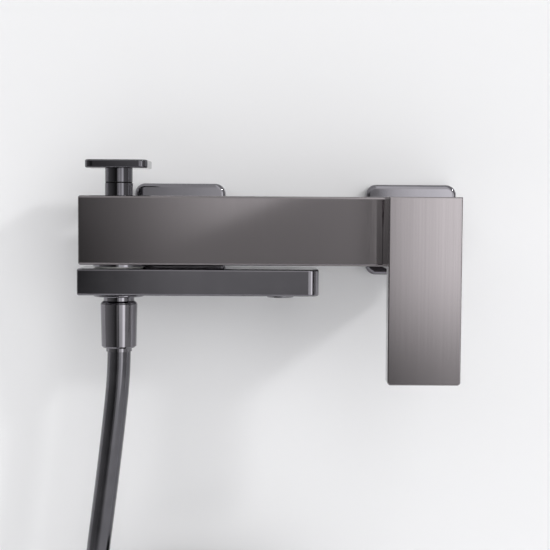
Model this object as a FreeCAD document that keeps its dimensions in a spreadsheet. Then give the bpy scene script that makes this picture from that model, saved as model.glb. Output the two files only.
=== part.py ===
"""Wall-mounted single-lever bath mixer with a swivel spout, a pull-up diverter and a shower hose.

Frame: the wall is the plane Y = 0 and the origin lies midway between the two wall inlets.
+X points right along the bar, -Y points out of the wall into the room and +Z points up.
Units are millimetres.  All driving dimensions live in the sheet; places are named expressions.
"""
import FreeCAD, Part
import math
import os
import re
import Sketcher

SIZES = {
    # wall connections
    "inlet_spacing": 150.0,
    "wall_thread_radius": 10.48,
    "wall_thread_length": 18.0,
    "union_thread_radius": 13.22,
    "union_length": 14.0,
    "union_bore": 7.0,
    "inlet_washer_thickness": 2.0,
    "tail_lip_radius": 12.0,
    "tail_lip_length": 2.5,
    "tail_radius": 10.5,
    "nut_across_flats": 30.0,
    "nut_length": 15.5,
    "nut_lip": 2.6,
    "nut_chamfer": 1.0,
    "nut_play": 0.1,
    "escutcheon_width": 58.5,
    "escutcheon_depth": 12.0,
    "escutcheon_wall": 2.0,
    "escutcheon_corner": 6.5,
    "escutcheon_round": 2.6,
    "escutcheon_play": 0.3,
    # bar-shaped mixer body
    "bar_standoff": 28.0,
    "bar_left_reach": 132.9,
    "bar_right_reach": 93.7,
    "bar_height": 42.0,
    "bar_depth": 42.0,
    "bar_round": 1.4,
    "inlet_bore": 6.5,
    "inlet_bore_depth": 7.5,
    "hot_way_radius": 4.0,
    "hot_way_depth": 5.5,
    "mix_way_radius": 3.5,
    "mix_way_depth": 11.5,
    "mix_way_end_depth": 17.0,
    # cartridge
    "cavity_depth": 25.5,
    "cartridge_radius": 17.3,
    "cartridge_play": 0.1,
    "cartridge_base": 5.0,
    "port_radius": 3.3,
    "port_spread": 8.5,
    "port_rise": 5.0,
    "mix_port_fall": 9.5,
    "seal_width": 1.3,
    "seal_thickness": 1.2,
    "fixed_disc_radius": 13.5,
    "fixed_disc_thickness": 3.2,
    "moving_disc_radius": 10.5,
    "moving_disc_thickness": 3.4,
    "mixing_recess_depth": 1.6,
    "carrier_thickness": 4.5,
    "carrier_play": 0.15,
    "disc_film": 0.05,
    "socket_radius": 2.15,
    "housing_wall": 1.7,
    "housing_cap": 2.5,
    "rotor_flange": 2.5,
    "rotor_neck_radius": 9.5,
    "rotor_neck_rise": 2.0,
    "rotor_play": 0.2,
    "rail_width": 1.5,
    "retainer_radius": 18.4,
    "retainer_bore": 12.0,
    "cover_radius": 15.5,
    "cover_height": 3.5,
    "cover_wall": 1.2,
    # lever
    "pivot_inset": 2.0,
    "pivot_pin_radius": 1.25,
    "pivot_play": 0.05,
    "lever_square": 8.0,
    "lever_stem_reach": 26.0,
    "lever_tail_radius": 1.4,
    "lever_ball_radius": 2.0,
    "ball_depth": 2.2,
    "slot_play": 0.1,
    "slot_half_length": 7.0,
    "handle_width": 42.4,
    "handle_drop": 88.0,
    "handle_thickness": 11.0,
    "handle_protrusion": 38.0,
    "handle_round": 0.7,
    "handle_corner": 2.0,
    "handle_skin": 4.0,
    "hub_gap": 1.5,
    "hub_cavity_radius": 18.2,
    "hub_relief_start": 1.0,
    "hub_relief_angle": 25.5,
    "boss_radius": 7.5,
    "boss_clearance": 10.0,
    "grub_radius": 2.5,
    "grub_length": 5.0,
    "cap_radius": 3.0,
    "cap_thickness": 1.8,
    # diverter
    "outlet_inset": 22.5,
    "bonnet_thread_radius": 11.0,
    "bonnet_thread_length": 9.0,
    "bonnet_collar_radius": 8.6,
    "bonnet_collar_height": 8.2,
    "rod_radius": 4.0,
    "rod_play": 0.05,
    "rod_tip_radius": 2.5,
    "rod_seal_width": 1.3,
    "rod_seal_height": 1.6,
    "valve_lift": 9.0,
    "valve_play": 0.2,
    "chamber_radius": 9.5,
    "upper_chamber": 2.5,
    "seat_land": 1.5,
    "seat_bore": 5.5,
    "seat_lip": 1.0,
    "piston_radius": 6.5,
    "piston_disc": 1.2,
    "piston_seal": 1.4,
    "piston_nut_radius": 3.8,
    "piston_nut_height": 2.2,
    "knob_gap": 0.3,
    "knob_boss_radius": 8.5,
    "knob_boss_height": 8.2,
    "knob_width": 38.0,
    "knob_thickness": 5.1,
    "knob_corner": 5.0,
    "knob_round": 1.0,
    # outlet post and spout
    "post_thread_radius": 11.8,
    "post_thread_length": 12.0,
    "post_radius": 11.2,
    "annulus_radius": 8.5,
    "seat_tube_radius": 5.95,
    "seat_tube_bore": 4.5,
    "side_way_radius": 2.2,
    "side_way_offset": 15.2,
    "cross_way_radius": 1.8,
    "feed_depth": 6.0,
    "collar_radius": 16.0,
    "collar_thickness": 1.6,
    "thrust_thickness": 0.75,
    "swivel_play": 0.05,
    "spout_seal_width": 1.3,
    "spout_seal_height": 1.8,
    "spout_port_radius": 2.5,
    "port_groove_depth": 1.6,
    "port_groove_height": 6.0,
    "flange_thickness": 1.4,
    "spout_width": 36.0,
    "spout_thickness": 16.4,
    "spout_back": 23.7,
    "spout_reach": 123.6,
    "spout_corner": 6.5,
    "spout_round": 1.2,
    "spout_way_radius": 4.5,
    "aerator_inset": 23.4,
    "aerator_radius": 9.0,
    "aerator_height": 8.0,
    "aerator_wall": 1.4,
    "aerator_stand": 1.5,
    "aerator_hole": 0.7,
    "aerator_ring_step": 2.4,
    # hose outlet
    "neck_radius": 9.5,
    "neck_length": 2.75,
    "stop_height": 1.5,
    "stop_radius": 11.1,
    "outlet_thread_radius": 10.48,
    "outlet_thread_length": 12.0,
    "post_bore": 6.0,
    "check_valve_radius": 7.4,
    "check_valve_length": 8.0,
    "thread_play": 0.02,
    "hose_nut_radius": 11.4,
    "hose_nut_tip_radius": 10.3,
    "hose_nut_length": 27.7,
    "hose_nut_chamfer": 0.5,
    "hose_washer_thickness": 2.0,
    "insert_flange": 2.0,
    "insert_radius": 5.0,
    "insert_bore": 3.9,
    "ferrule_radius": 8.0,
    "ferrule_stand": 2.35,
    # hose
    "hose_diameter": 14.5,
    "coil_diameter": 143.0,
    "coil_turns": 3.0,
    "tail_length": 52.0,
    "tie_width": 12.0,
    "tie_thickness": 1.6,
    "tie_play": 0.3,
}

# the hose's hanging run, as steps from its exit below the ferrule
HOSE_ROUTE = [
    (0.0, 0.0, 0.0),
    (0.0, 0.0, -14.0),
    (-3.5, -0.5, -48.0),
    (-8.7, -1.6, -92.0),
    (-13.6, -3.2, -130.0),
    (-17.2, -5.4, -174.0),
    (-18.2, -7.0, -222.2),
]

doc = FreeCAD.newDocument("bath_mixer")
sheet = doc.addObject("Spreadsheet::Sheet", "dims")
for row, (word, size) in enumerate(SIZES.items(), 1):
    sheet.set(f"A{row}", word)
    sheet.set(f"B{row}", str(size))
    sheet.setAlias(f"B{row}", word)
doc.recompute()

# places, as expressions of the sheet; "D" values are distances out of the wall along -Y
BAR_FRONT_D = "(bar_standoff + bar_depth)"
BAR_Y = "(-bar_standoff - bar_depth / 2)"
BAR_TOP = "(bar_height / 2)"
BAR_UNDER = "(-bar_height / 2)"
OUTLET_X = "(outlet_inset - bar_left_reach)"
LEVER_X = "(bar_right_reach - handle_width / 2)"
# inlet stack, out of the wall
WASHER_D = "(union_length + inlet_washer_thickness)"
TAIL_LIP_D = f"({WASHER_D} + tail_lip_length)"
NUT_END_D = f"({TAIL_LIP_D} + nut_play + nut_lip)"
NUT_START_D = f"({NUT_END_D} - nut_length)"
NUT_CORNER = "(nut_across_flats / sqrt(3))"
# cartridge stack, out of the wall
FLOOR_D = f"({BAR_FRONT_D} - cavity_depth)"
BASE_TOP_D = f"({FLOOR_D} + cartridge_base)"
FIXED_TOP_D = f"({BASE_TOP_D} + fixed_disc_thickness)"
MOVING_D = f"({FIXED_TOP_D} + disc_film)"
CARRIER_D = f"({MOVING_D} + moving_disc_thickness)"
CARRIER_TOP_D = f"({CARRIER_D} + carrier_thickness)"
ROTOR_D = f"({CARRIER_TOP_D} + carrier_play)"
FLANGE_TOP_D = f"({ROTOR_D} + rotor_flange)"
HOUSING_IN_D = f"({FLANGE_TOP_D} + rotor_play)"
HOUSING_TOP_D = f"({HOUSING_IN_D} + housing_cap)"
ROTOR_TOP_D = f"({BAR_FRONT_D} + rotor_neck_rise)"
PIVOT_D = f"({BAR_FRONT_D} - pivot_inset)"
BALL_D = f"({CARRIER_TOP_D} - ball_depth)"
HOUSING_BORE = "(cartridge_radius - housing_wall)"
CAVITY_RADIUS = "(cartridge_radius + cartridge_play)"
# handle, out of the wall
HANDLE_FRONT_D = f"({BAR_FRONT_D} + handle_protrusion)"
PLATE_BACK_D = f"({HANDLE_FRONT_D} - handle_thickness)"
HUB_BACK_D = f"({BAR_FRONT_D} + hub_gap)"
HUB_TOP_BACK_D = f"({HUB_BACK_D} + (bar_height / 2 - hub_relief_start) * tan(hub_relief_angle * 1 deg))"
HUB_FLOOR_D = f"({HANDLE_FRONT_D} - handle_skin)"
BOSS_D = f"({BAR_FRONT_D} + boss_clearance)"
STEM_END_D = f"({PIVOT_D} + lever_stem_reach)"
GRUB_D = f"(({BOSS_D} + {STEM_END_D}) / 2)"
# diverter levels
BONNET_UNDER = f"({BAR_TOP} - bonnet_thread_length)"
COLLAR_TOP = f"({BAR_TOP} + bonnet_collar_height)"
UPPER_SEAT_TOP = f"({BONNET_UNDER} - upper_chamber)"
UPPER_SEAT = f"({UPPER_SEAT_TOP} - seat_land)"
PISTON_HEIGHT = "(piston_disc + 2 * piston_seal)"
LOWER_SEAT = f"({UPPER_SEAT} - valve_lift - valve_play - {PISTON_HEIGHT})"
SEAT_FLANGE_TOP = f"({LOWER_SEAT} - seat_lip)"
KNOB_BOSS_UNDER = f"({COLLAR_TOP} + knob_gap)"
KNOB_UNDER = f"({KNOB_BOSS_UNDER} + knob_boss_height)"
KNOB_TOP = f"({KNOB_UNDER} + knob_thickness)"
# outlet levels
POST_TOP = f"({BAR_UNDER} + post_thread_length)"
FEED_LEVEL = f"({BAR_UNDER} + feed_depth)"
COLLAR_UNDER = f"({BAR_UNDER} - collar_thickness)"
THRUST_UNDER = f"({COLLAR_UNDER} - thrust_thickness)"
SPOUT_TOP = f"({THRUST_UNDER} - swivel_play)"
SPOUT_UNDER = f"({SPOUT_TOP} - spout_thickness)"
SPOUT_MID = f"({SPOUT_TOP} - spout_thickness / 2)"
FLANGE_TOP = f"({SPOUT_UNDER} - swivel_play)"
FLANGE_UNDER = f"({FLANGE_TOP} - flange_thickness)"
NECK_UNDER = f"({FLANGE_UNDER} - neck_length)"
STOP_UNDER = f"({NECK_UNDER} - stop_height)"
POST_UNDER = f"({STOP_UNDER} - outlet_thread_length)"
SEAT_TUBE_UNDER = f"({NECK_UNDER} + neck_length / 2)"
HOSE_NUT_UNDER = f"({STOP_UNDER} - hose_nut_length)"
FERRULE_UNDER = f"({HOSE_NUT_UNDER} - ferrule_stand)"

UPRIGHT = FreeCAD.Rotation()
OUTWARD = FreeCAD.Rotation(FreeCAD.Vector(1, 0, 0), 90)
ALONG_X = FreeCAD.Rotation(FreeCAD.Vector(0, 1, 0), 90)
AT_LEVER = (LEVER_X, "0", "0")
AT_OUTLET = (OUTLET_X, BAR_Y, "0")
nodes = []


def bound(expression):
    """The expression with each dimension's word pointed at the sheet."""
    def point(match):
        word = match.group(0)
        return f"dims.{word}" if word in SIZES else word
    return re.sub(r"[a-z][a-z_]+", point, expression)


def number(expression):
    """The value of an expression of the sheet, as a plain number."""
    return float(sheet.evalExpression(bound(expression)))


def bind(thing, setting, expression):
    """Ties one property of a document object to an expression of the sheet."""
    thing.setExpression(setting, bound(expression))


def seat(thing, place, turn=UPRIGHT):
    """Turns an object and binds its place to the sheet."""
    thing.Placement = FreeCAD.Placement(FreeCAD.Vector(*[number(part) for part in place]), turn)
    for letter, part in zip("xyz", place):
        bind(thing, f"Placement.Base.{letter}", part)


def node(thing, label):
    """Registers a finished sub-part under its own name."""
    thing.Label = label
    nodes.append(thing)
    return thing


def outline(body, name, plane, corners):
    """A closed outline of straight lines on one of the body's own planes, each corner bound."""
    sketch = body.newObject("Sketcher::SketchObject", name)
    support = next(each for each in body.Origin.OriginFeatures if each.Role == plane)
    sketch.AttachmentSupport = [(support, "")]
    sketch.MapMode = "FlatFace"
    points = [FreeCAD.Vector(number(across), number(up), 0) for across, up in corners]
    count = len(points)
    for index in range(count):
        sketch.addGeometry(Part.LineSegment(points[index], points[(index + 1) % count]), False)
    for index in range(count):
        sketch.addConstraint(Sketcher.Constraint("Coincident", index, 2, (index + 1) % count, 1))
    for index, corner in enumerate(corners):
        for kind, axis, expression in (("DistanceX", -2, corner[0]), ("DistanceY", -1, corner[1])):
            if expression == "0":
                sketch.addConstraint(Sketcher.Constraint("PointOnObject", index, 1, axis))
                continue
            row = sketch.addConstraint(
                Sketcher.Constraint(kind, -1, 1, index, 1, number(expression)))
            bind(sketch, f"Constraints[{row}]", expression)
    return sketch


def circle(body, name, plane, radius, across="0", up="0"):
    """A bound circle on one of the body's own planes."""
    sketch = body.newObject("Sketcher::SketchObject", name)
    support = next(each for each in body.Origin.OriginFeatures if each.Role == plane)
    sketch.AttachmentSupport = [(support, "")]
    sketch.MapMode = "FlatFace"
    middle = FreeCAD.Vector(number(across), number(up), 0)
    sketch.addGeometry(Part.Circle(middle, FreeCAD.Vector(0, 0, 1), number(radius)), False)
    row = sketch.addConstraint(Sketcher.Constraint("Radius", 0, number(radius)))
    bind(sketch, f"Constraints[{row}]", radius)
    for kind, axis, expression in (("DistanceX", -2, across), ("DistanceY", -1, up)):
        if expression == "0":
            sketch.addConstraint(Sketcher.Constraint("PointOnObject", 0, 3, axis))
            continue
        row = sketch.addConstraint(Sketcher.Constraint(kind, -1, 1, 0, 3, number(expression)))
        bind(sketch, f"Constraints[{row}]", expression)
    return sketch


def rectangle(left, right, low, high):
    """The four corners of an upright rectangle."""
    return [(left, low), (right, low), (right, high), (left, high)]


def square(width):
    """The corners of a square centred on the axis."""
    return rectangle(f"-{width} / 2", f"{width} / 2", f"-{width} / 2", f"{width} / 2")


def turned(name, profile, place, turn=UPRIGHT):
    """A turned piece: the profile's corners are (radius, height) pairs about the local Z axis."""
    body = doc.addObject("PartDesign::Body", name)
    section = outline(body, name + "_section", "XZ_Plane", profile)
    revolution = body.newObject("PartDesign::Revolution", name + "_turning")
    revolution.Profile = section
    revolution.ReferenceAxis = (section, ["V_Axis"])
    revolution.Angle = 360
    seat(body, place, turn)
    return body


def tube(name, outer, inner, low, high, place, turn=UPRIGHT):
    """A plain turned ring or tube."""
    return turned(name, rectangle(inner, outer, low, high), place, turn)


def padded(name, corners, length, place, turn=UPRIGHT):
    """A block padded up from the body's XY plane."""
    body = doc.addObject("PartDesign::Body", name)
    section = outline(body, name + "_section", "XY_Plane", corners)
    pad = body.newObject("PartDesign::Pad", name + "_pad")
    pad.Profile = section
    bind(pad, "Length", length)
    seat(body, place, turn)
    return body


def pocket(body, name, section, depth):
    """Cuts a section up into the body from its own XY plane."""
    cut = body.newObject("PartDesign::Pocket", name)
    cut.Profile = section
    cut.Reversed = True
    bind(cut, "Length", depth)
    return cut


def hole_ring(body, name, radius, reach, depth, count):
    """A ring of equal holes about the body's axis, cut up from its XY plane."""
    cut = pocket(body, f"{name}_hole", circle(body, f"{name}_section", "XY_Plane", radius, reach),
                 depth)
    pattern = body.newObject("PartDesign::PolarPattern", name)
    pattern.Originals = [cut]
    pattern.Axis = (cut.Profile[0], ["N_Axis"])
    pattern.Angle = 360
    pattern.Occurrences = count
    body.Tip = pattern
    return pattern


def rounded(body, name, radius, chosen):
    """Rounds the edges of the body's tip that the test picks out."""
    doc.recompute()
    tip = body.Tip
    names = [f"Edge{index}" for index, edge in enumerate(tip.Shape.Edges, 1) if chosen(edge)]
    fillet = body.newObject("PartDesign::Fillet", name)
    fillet.Base = (tip, names)
    bind(fillet, "Radius", radius)
    return fillet


def runs_along(letter):
    """A test for straight edges along one axis."""
    def test(edge):
        if edge.Curve.TypeId != "Part::GeomLine":
            return False
        return abs(getattr(edge.Curve.Direction, letter)) > 0.999
    return test


def lies_at(letter, level):
    """A test for edges that lie wholly at one level."""
    def test(edge):
        box = edge.BoundBox
        low = getattr(box, letter.upper() + "Min")
        high = getattr(box, letter.upper() + "Max")
        return abs(low - level) < 0.001 and abs(high - level) < 0.001
    return test


def drill(name, radius, length, place, turn=UPRIGHT):
    """A bound cylinder, used as a cutter or a boss."""
    cylinder = doc.addObject("Part::Cylinder", name)
    bind(cylinder, "Radius", radius)
    bind(cylinder, "Height", length)
    seat(cylinder, place, turn)
    return cylinder


def block(name, sides, place, turn=UPRIGHT):
    """A bound box whose place is its low corner."""
    box = doc.addObject("Part::Box", name)
    for setting, side in zip(("Length", "Width", "Height"), sides):
        bind(box, setting, side)
    seat(box, place, turn)
    return box


def joined(name, pieces):
    """Several pieces made one solid."""
    fuse = doc.addObject("Part::MultiFuse", name)
    fuse.Shapes = pieces
    return fuse


def cut_from(name, base, tools):
    """A piece less its cutters."""
    cut = doc.addObject("Part::Cut", name)
    cut.Base = base
    cut.Tool = joined(name + "_cutters", tools) if len(tools) > 1 else tools[0]
    return cut


def shared(name, first, second):
    """The solid that two pieces have in common."""
    common = doc.addObject("Part::Common", name)
    common.Base = first
    common.Tool = second
    return common


def grouped(name, pieces):
    """Separate identical solids that share one node."""
    group = doc.addObject("Part::Compound", name)
    group.Links = pieces
    return group


def make_inlet(side, name):
    """One wall connection: union, washer, union nut and square escutcheon."""
    place = (f"{side} * inlet_spacing / 2", "0", "0")
    thread_start = "-wall_thread_length"
    node(turned(f"{name}_wall_union", [
        ("union_bore", thread_start),
        ("wall_thread_radius - nut_chamfer", thread_start),
        ("wall_thread_radius", f"{thread_start} + nut_chamfer"),
        ("wall_thread_radius", "0"),
        ("union_thread_radius", "0"),
        ("union_thread_radius", "union_length"),
        ("union_bore", "union_length"),
    ], place, OUTWARD), f"{name}_wall_union")
    node(tube(f"{name}_inlet_washer", "tail_lip_radius", "union_bore",
              "union_length", WASHER_D, place, OUTWARD), f"{name}_inlet_washer")
    blank = turned(f"{name}_nut_blank", [
        ("union_thread_radius + thread_play", NUT_START_D),
        (f"{NUT_CORNER} - nut_chamfer", NUT_START_D),
        (NUT_CORNER, f"{NUT_START_D} + nut_chamfer"),
        (NUT_CORNER, f"{NUT_END_D} - nut_chamfer"),
        (f"{NUT_CORNER} - nut_chamfer", NUT_END_D),
        ("tail_radius + nut_play", NUT_END_D),
        ("tail_radius + nut_play", f"{TAIL_LIP_D} + nut_play"),
        ("union_thread_radius + thread_play", f"{TAIL_LIP_D} + nut_play"),
    ], place, OUTWARD)
    prism = doc.addObject("Part::Prism", f"{name}_nut_hexagon")
    prism.Polygon = 6
    bind(prism, "Circumradius", NUT_CORNER)
    bind(prism, "Height", "nut_length")
    seat(prism, (place[0], f"-{NUT_START_D}", "0"), OUTWARD)
    node(shared(f"{name}_union_nut", prism, blank), f"{name}_union_nut")
    cover = padded(f"{name}_escutcheon", square("escutcheon_width"), "escutcheon_depth",
                   place, OUTWARD)
    rounded(cover, f"{name}_escutcheon_corners", "escutcheon_corner", runs_along("z"))
    rounded(cover, f"{name}_escutcheon_rim", "escutcheon_round",
            lies_at("z", number("escutcheon_depth")))
    hollow = outline(cover, f"{name}_escutcheon_hollow", "XY_Plane",
                     square("(escutcheon_width - 2 * escutcheon_wall)"))
    pocket(cover, f"{name}_escutcheon_pocket", hollow, "escutcheon_depth - escutcheon_wall")
    opening = circle(cover, f"{name}_escutcheon_opening", "XY_Plane",
                     f"{NUT_CORNER} + escutcheon_play")
    pocket(cover, f"{name}_escutcheon_hole", opening, "escutcheon_depth * 2")
    node(cover, f"{name}_escutcheon")


def make_mixer_body():
    """The cast bar with its inlet tails, cartridge cavity, diverter bore and waterways."""
    bar = padded("bar_block", rectangle("-bar_left_reach", "bar_right_reach", BAR_UNDER, BAR_TOP),
                 "bar_depth", ("0", "-bar_standoff", "0"), OUTWARD)
    rounded(bar, "bar_rounding", "bar_round", lambda edge: True)
    solids = [bar]
    cutters = []
    for side, name in (("-1", "hot"), ("1", "cold")):
        inlet_x = f"{side} * inlet_spacing / 2"
        solids.append(turned(f"{name}_tail", [
            ("0", WASHER_D),
            ("tail_lip_radius", WASHER_D),
            ("tail_lip_radius", TAIL_LIP_D),
            ("tail_radius", TAIL_LIP_D),
            ("tail_radius", "bar_standoff + bar_round"),
            ("0", "bar_standoff + bar_round"),
        ], (inlet_x, "0", "0"), OUTWARD))
        cutters.append(drill(f"{name}_inlet_way", "inlet_bore",
                             f"bar_standoff + inlet_bore_depth - {WASHER_D}",
                             (inlet_x, f"-{WASHER_D}", "0"), OUTWARD))
    cutters.append(drill("cartridge_cavity", CAVITY_RADIUS, "cavity_depth + bar_round",
                         (LEVER_X, f"-{FLOOR_D}", "0"), OUTWARD))
    cutters.append(drill("retainer_mouth", "retainer_radius + thread_play",
                         f"{BAR_FRONT_D} - {HOUSING_TOP_D} + bar_round",
                         (LEVER_X, f"-{HOUSING_TOP_D}", "0"), OUTWARD))
    hot_y = "(-bar_standoff - hot_way_depth)"
    cutters.append(drill("hot_way", "hot_way_radius",
                         f"inlet_spacing / 2 + {LEVER_X} - port_spread",
                         ("-inlet_spacing / 2", hot_y, "port_rise"), ALONG_X))
    for side, name in (("-1", "hot"), ("1", "cold")):
        cutters.append(drill(f"{name}_port_way", "port_radius",
                             f"{FLOOR_D} - bar_standoff - hot_way_depth",
                             (f"{LEVER_X} + {side} * port_spread", hot_y, "port_rise"), OUTWARD))
    mix_start = (LEVER_X, "(-bar_standoff - mix_way_depth)", "(-mix_port_fall)")
    mix_end = (OUTLET_X, "(-bar_standoff - mix_way_end_depth)", f"(({UPPER_SEAT} + {LOWER_SEAT}) / 2)")
    cutters.append(drill("mix_port_way", "port_radius", f"{FLOOR_D} - bar_standoff - mix_way_depth",
                         mix_start, OUTWARD))
    start = FreeCAD.Vector(*[number(part) for part in mix_start])
    end = FreeCAD.Vector(*[number(part) for part in mix_end])
    slope = FreeCAD.Rotation(FreeCAD.Vector(0, 0, 1), end - start)
    mix_length = " + ".join(f"({a} - {b})^2" for a, b in zip(mix_start, mix_end))
    cutters.append(drill("mix_way", "mix_way_radius", f"sqrt({mix_length})", mix_start, slope))
    cutters.append(drill("bonnet_bore", "bonnet_thread_radius + thread_play",
                         "bonnet_thread_length + bar_round", (OUTLET_X, BAR_Y, BONNET_UNDER)))
    cutters.append(drill("upper_chamber_bore", "chamber_radius", "upper_chamber + thread_play",
                         (OUTLET_X, BAR_Y, UPPER_SEAT_TOP)))
    cutters.append(drill("upper_seat_bore", "seat_bore", f"{UPPER_SEAT_TOP} - {POST_TOP}",
                         (OUTLET_X, BAR_Y, POST_TOP)))
    cutters.append(drill("chamber_bore", "chamber_radius", f"{UPPER_SEAT} - {POST_TOP}",
                         (OUTLET_X, BAR_Y, POST_TOP)))
    cutters.append(drill("post_bore_way", "post_thread_radius + thread_play",
                         "post_thread_length + bar_round",
                         (OUTLET_X, BAR_Y, f"{BAR_UNDER} - bar_round")))
    side_x = f"({OUTLET_X} - side_way_offset)"
    upper_level = f"({UPPER_SEAT_TOP} + upper_chamber / 2)"
    cutters.append(drill("side_way", "side_way_radius", f"{upper_level} - {FEED_LEVEL}",
                         (side_x, BAR_Y, FEED_LEVEL)))
    for level, name in ((upper_level, "upper"), (FEED_LEVEL, "lower")):
        cutters.append(drill(f"{name}_cross_way", "min(cross_way_radius; upper_chamber / 2.2)",
                             "side_way_offset", (side_x, BAR_Y, level), ALONG_X))
    node(cut_from("mixer_body", joined("mixer_casting", solids), cutters), "mixer_body")


def port_places():
    """Where the hot, cold and mixed ports lie about the cartridge axis."""
    return [(f"{LEVER_X} - port_spread", "port_rise"), (f"{LEVER_X} + port_spread", "port_rise"),
            (LEVER_X, "-mix_port_fall")]


def make_cartridge():
    """Base, seals, fixed disc, housing, retaining nut and dome cover."""
    blank = doc.addObject("Part::Cylinder", "base_blank")
    bind(blank, "Radius", "cartridge_radius")
    bind(blank, "Height", "cartridge_base")
    seat(blank, (LEVER_X, f"-{FLOOR_D}", "0"), OUTWARD)
    disc = drill("fixed_disc_blank", "fixed_disc_radius", "fixed_disc_thickness",
                 (LEVER_X, f"-{BASE_TOP_D}", "0"), OUTWARD)
    base_cutters = []
    disc_cutters = []
    rings = []
    for index, (across, up) in enumerate(port_places(), 1):
        base_cutters.append(drill(f"base_port_{index}", "port_radius", "cartridge_base",
                                  (across, f"-{FLOOR_D}", up), OUTWARD))
        base_cutters.append(drill(f"seal_groove_{index}", "port_radius + seal_width",
                                  "seal_thickness", (across, f"-{FLOOR_D}", up), OUTWARD))
        disc_cutters.append(drill(f"disc_port_{index}", "port_radius", "fixed_disc_thickness",
                                  (across, f"-{BASE_TOP_D}", up), OUTWARD))
        rings.append(tube(f"port_seal_{index}", "port_radius + seal_width", "port_radius",
                          FLOOR_D, f"{FLOOR_D} + seal_thickness", (across, "0", up), OUTWARD))
    node(cut_from("cartridge_base", blank, base_cutters), "cartridge_base")
    node(grouped("port_seals", rings), "port_seals")
    node(cut_from("fixed_disc", disc, disc_cutters), "fixed_disc")
    node(turned("cartridge_housing", [
        ("fixed_disc_radius + rotor_play", BASE_TOP_D),
        ("cartridge_radius", BASE_TOP_D),
        ("cartridge_radius", HOUSING_TOP_D),
        ("rotor_neck_radius + rotor_play", HOUSING_TOP_D),
        ("rotor_neck_radius + rotor_play", HOUSING_IN_D),
        (HOUSING_BORE, HOUSING_IN_D),
        (HOUSING_BORE, FIXED_TOP_D),
        ("fixed_disc_radius + rotor_play", FIXED_TOP_D),
    ], AT_LEVER, OUTWARD), "cartridge_housing")
    node(turned("retaining_nut", [
        ("retainer_bore", HOUSING_TOP_D),
        ("retainer_radius", HOUSING_TOP_D),
        ("retainer_radius", f"{BAR_FRONT_D} - nut_chamfer / 2"),
        ("retainer_radius - nut_chamfer / 2", BAR_FRONT_D),
        ("retainer_bore", BAR_FRONT_D),
    ], AT_LEVER, OUTWARD), "retaining_nut")
    cover_bore = "(rotor_neck_radius + rotor_play)"
    cover_top = f"({BAR_FRONT_D} + cover_height)"
    node(turned("cartridge_cover", [
        ("cover_radius - cover_wall", BAR_FRONT_D),
        ("cover_radius", BAR_FRONT_D),
        ("cover_radius", f"{cover_top} - cover_wall"),
        ("cover_radius - cover_wall", cover_top),
        (cover_bore, cover_top),
        (cover_bore, f"{cover_top} - cover_wall"),
        ("cover_radius - cover_wall", f"{cover_top} - cover_wall"),
    ], AT_LEVER, OUTWARD), "cartridge_cover")


def make_rotor():
    """The forked turret that turns with the handle, and the pin through its fork."""
    turret = turned("rotor_turret", [
        ("0", ROTOR_D),
        (f"{HOUSING_BORE} - rotor_play", ROTOR_D),
        (f"{HOUSING_BORE} - rotor_play", FLANGE_TOP_D),
        ("rotor_neck_radius", FLANGE_TOP_D),
        ("rotor_neck_radius", ROTOR_TOP_D),
        ("0", ROTOR_TOP_D),
    ], AT_LEVER, OUTWARD)
    rail_inner = "(moving_disc_radius + carrier_play)"
    rails = []
    for side, start in (("left", f"{LEVER_X} - {rail_inner} - rail_width"),
                        ("right", f"{LEVER_X} + {rail_inner}")):
        rails.append(block(f"carrier_rail_{side}",
                           ("rail_width", "2 * slot_half_length", f"{ROTOR_D} - {CARRIER_D}"),
                           (start, f"-{CARRIER_D}", "-slot_half_length"), OUTWARD))
    slot_width = "(lever_square + 2 * slot_play)"
    slot = block("rotor_slot", (slot_width, "2 * slot_half_length", f"{ROTOR_TOP_D} - {ROTOR_D}"),
                 (f"{LEVER_X} - {slot_width} / 2", f"-{ROTOR_D}", "-slot_half_length"), OUTWARD)
    half_pin = "(rotor_neck_radius - slot_play)"
    pin_hole = drill("pin_hole", "pivot_pin_radius", "2 * rotor_neck_radius",
                     (f"{LEVER_X} - rotor_neck_radius", f"-{PIVOT_D}", "0"), ALONG_X)
    node(cut_from("temperature_rotor", joined("rotor_solid", [turret] + rails), [slot, pin_hole]),
         "temperature_rotor")
    node(drill("pivot_pin", "pivot_pin_radius", f"2 * {half_pin}",
               (f"{LEVER_X} - {half_pin}", f"-{PIVOT_D}", "0"), ALONG_X), "pivot_pin")


def make_moving_disc():
    """The sliding ceramic disc with its mixing recess, and the carrier that the lever drives."""
    blank = drill("moving_disc_blank", "moving_disc_radius", "moving_disc_thickness",
                  (LEVER_X, f"-{MOVING_D}", "0"), OUTWARD)
    recess = block("mixing_recess", ("port_spread", "mix_port_fall + port_rise / 2",
                                     "mixing_recess_depth"),
                   (f"{LEVER_X} - port_spread / 2", f"-{MOVING_D}", "-mix_port_fall + port_radius / 2"),
                   OUTWARD)
    node(cut_from("moving_disc", blank, [recess]), "moving_disc")
    flare = "(socket_radius + ball_depth / 3)"
    node(turned("disc_carrier", [
        ("socket_radius", CARRIER_D),
        ("moving_disc_radius", CARRIER_D),
        ("moving_disc_radius", CARRIER_TOP_D),
        (flare, CARRIER_TOP_D),
        ("socket_radius", f"{CARRIER_TOP_D} - ball_depth / 2"),
    ], AT_LEVER, OUTWARD), "disc_carrier")


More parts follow.
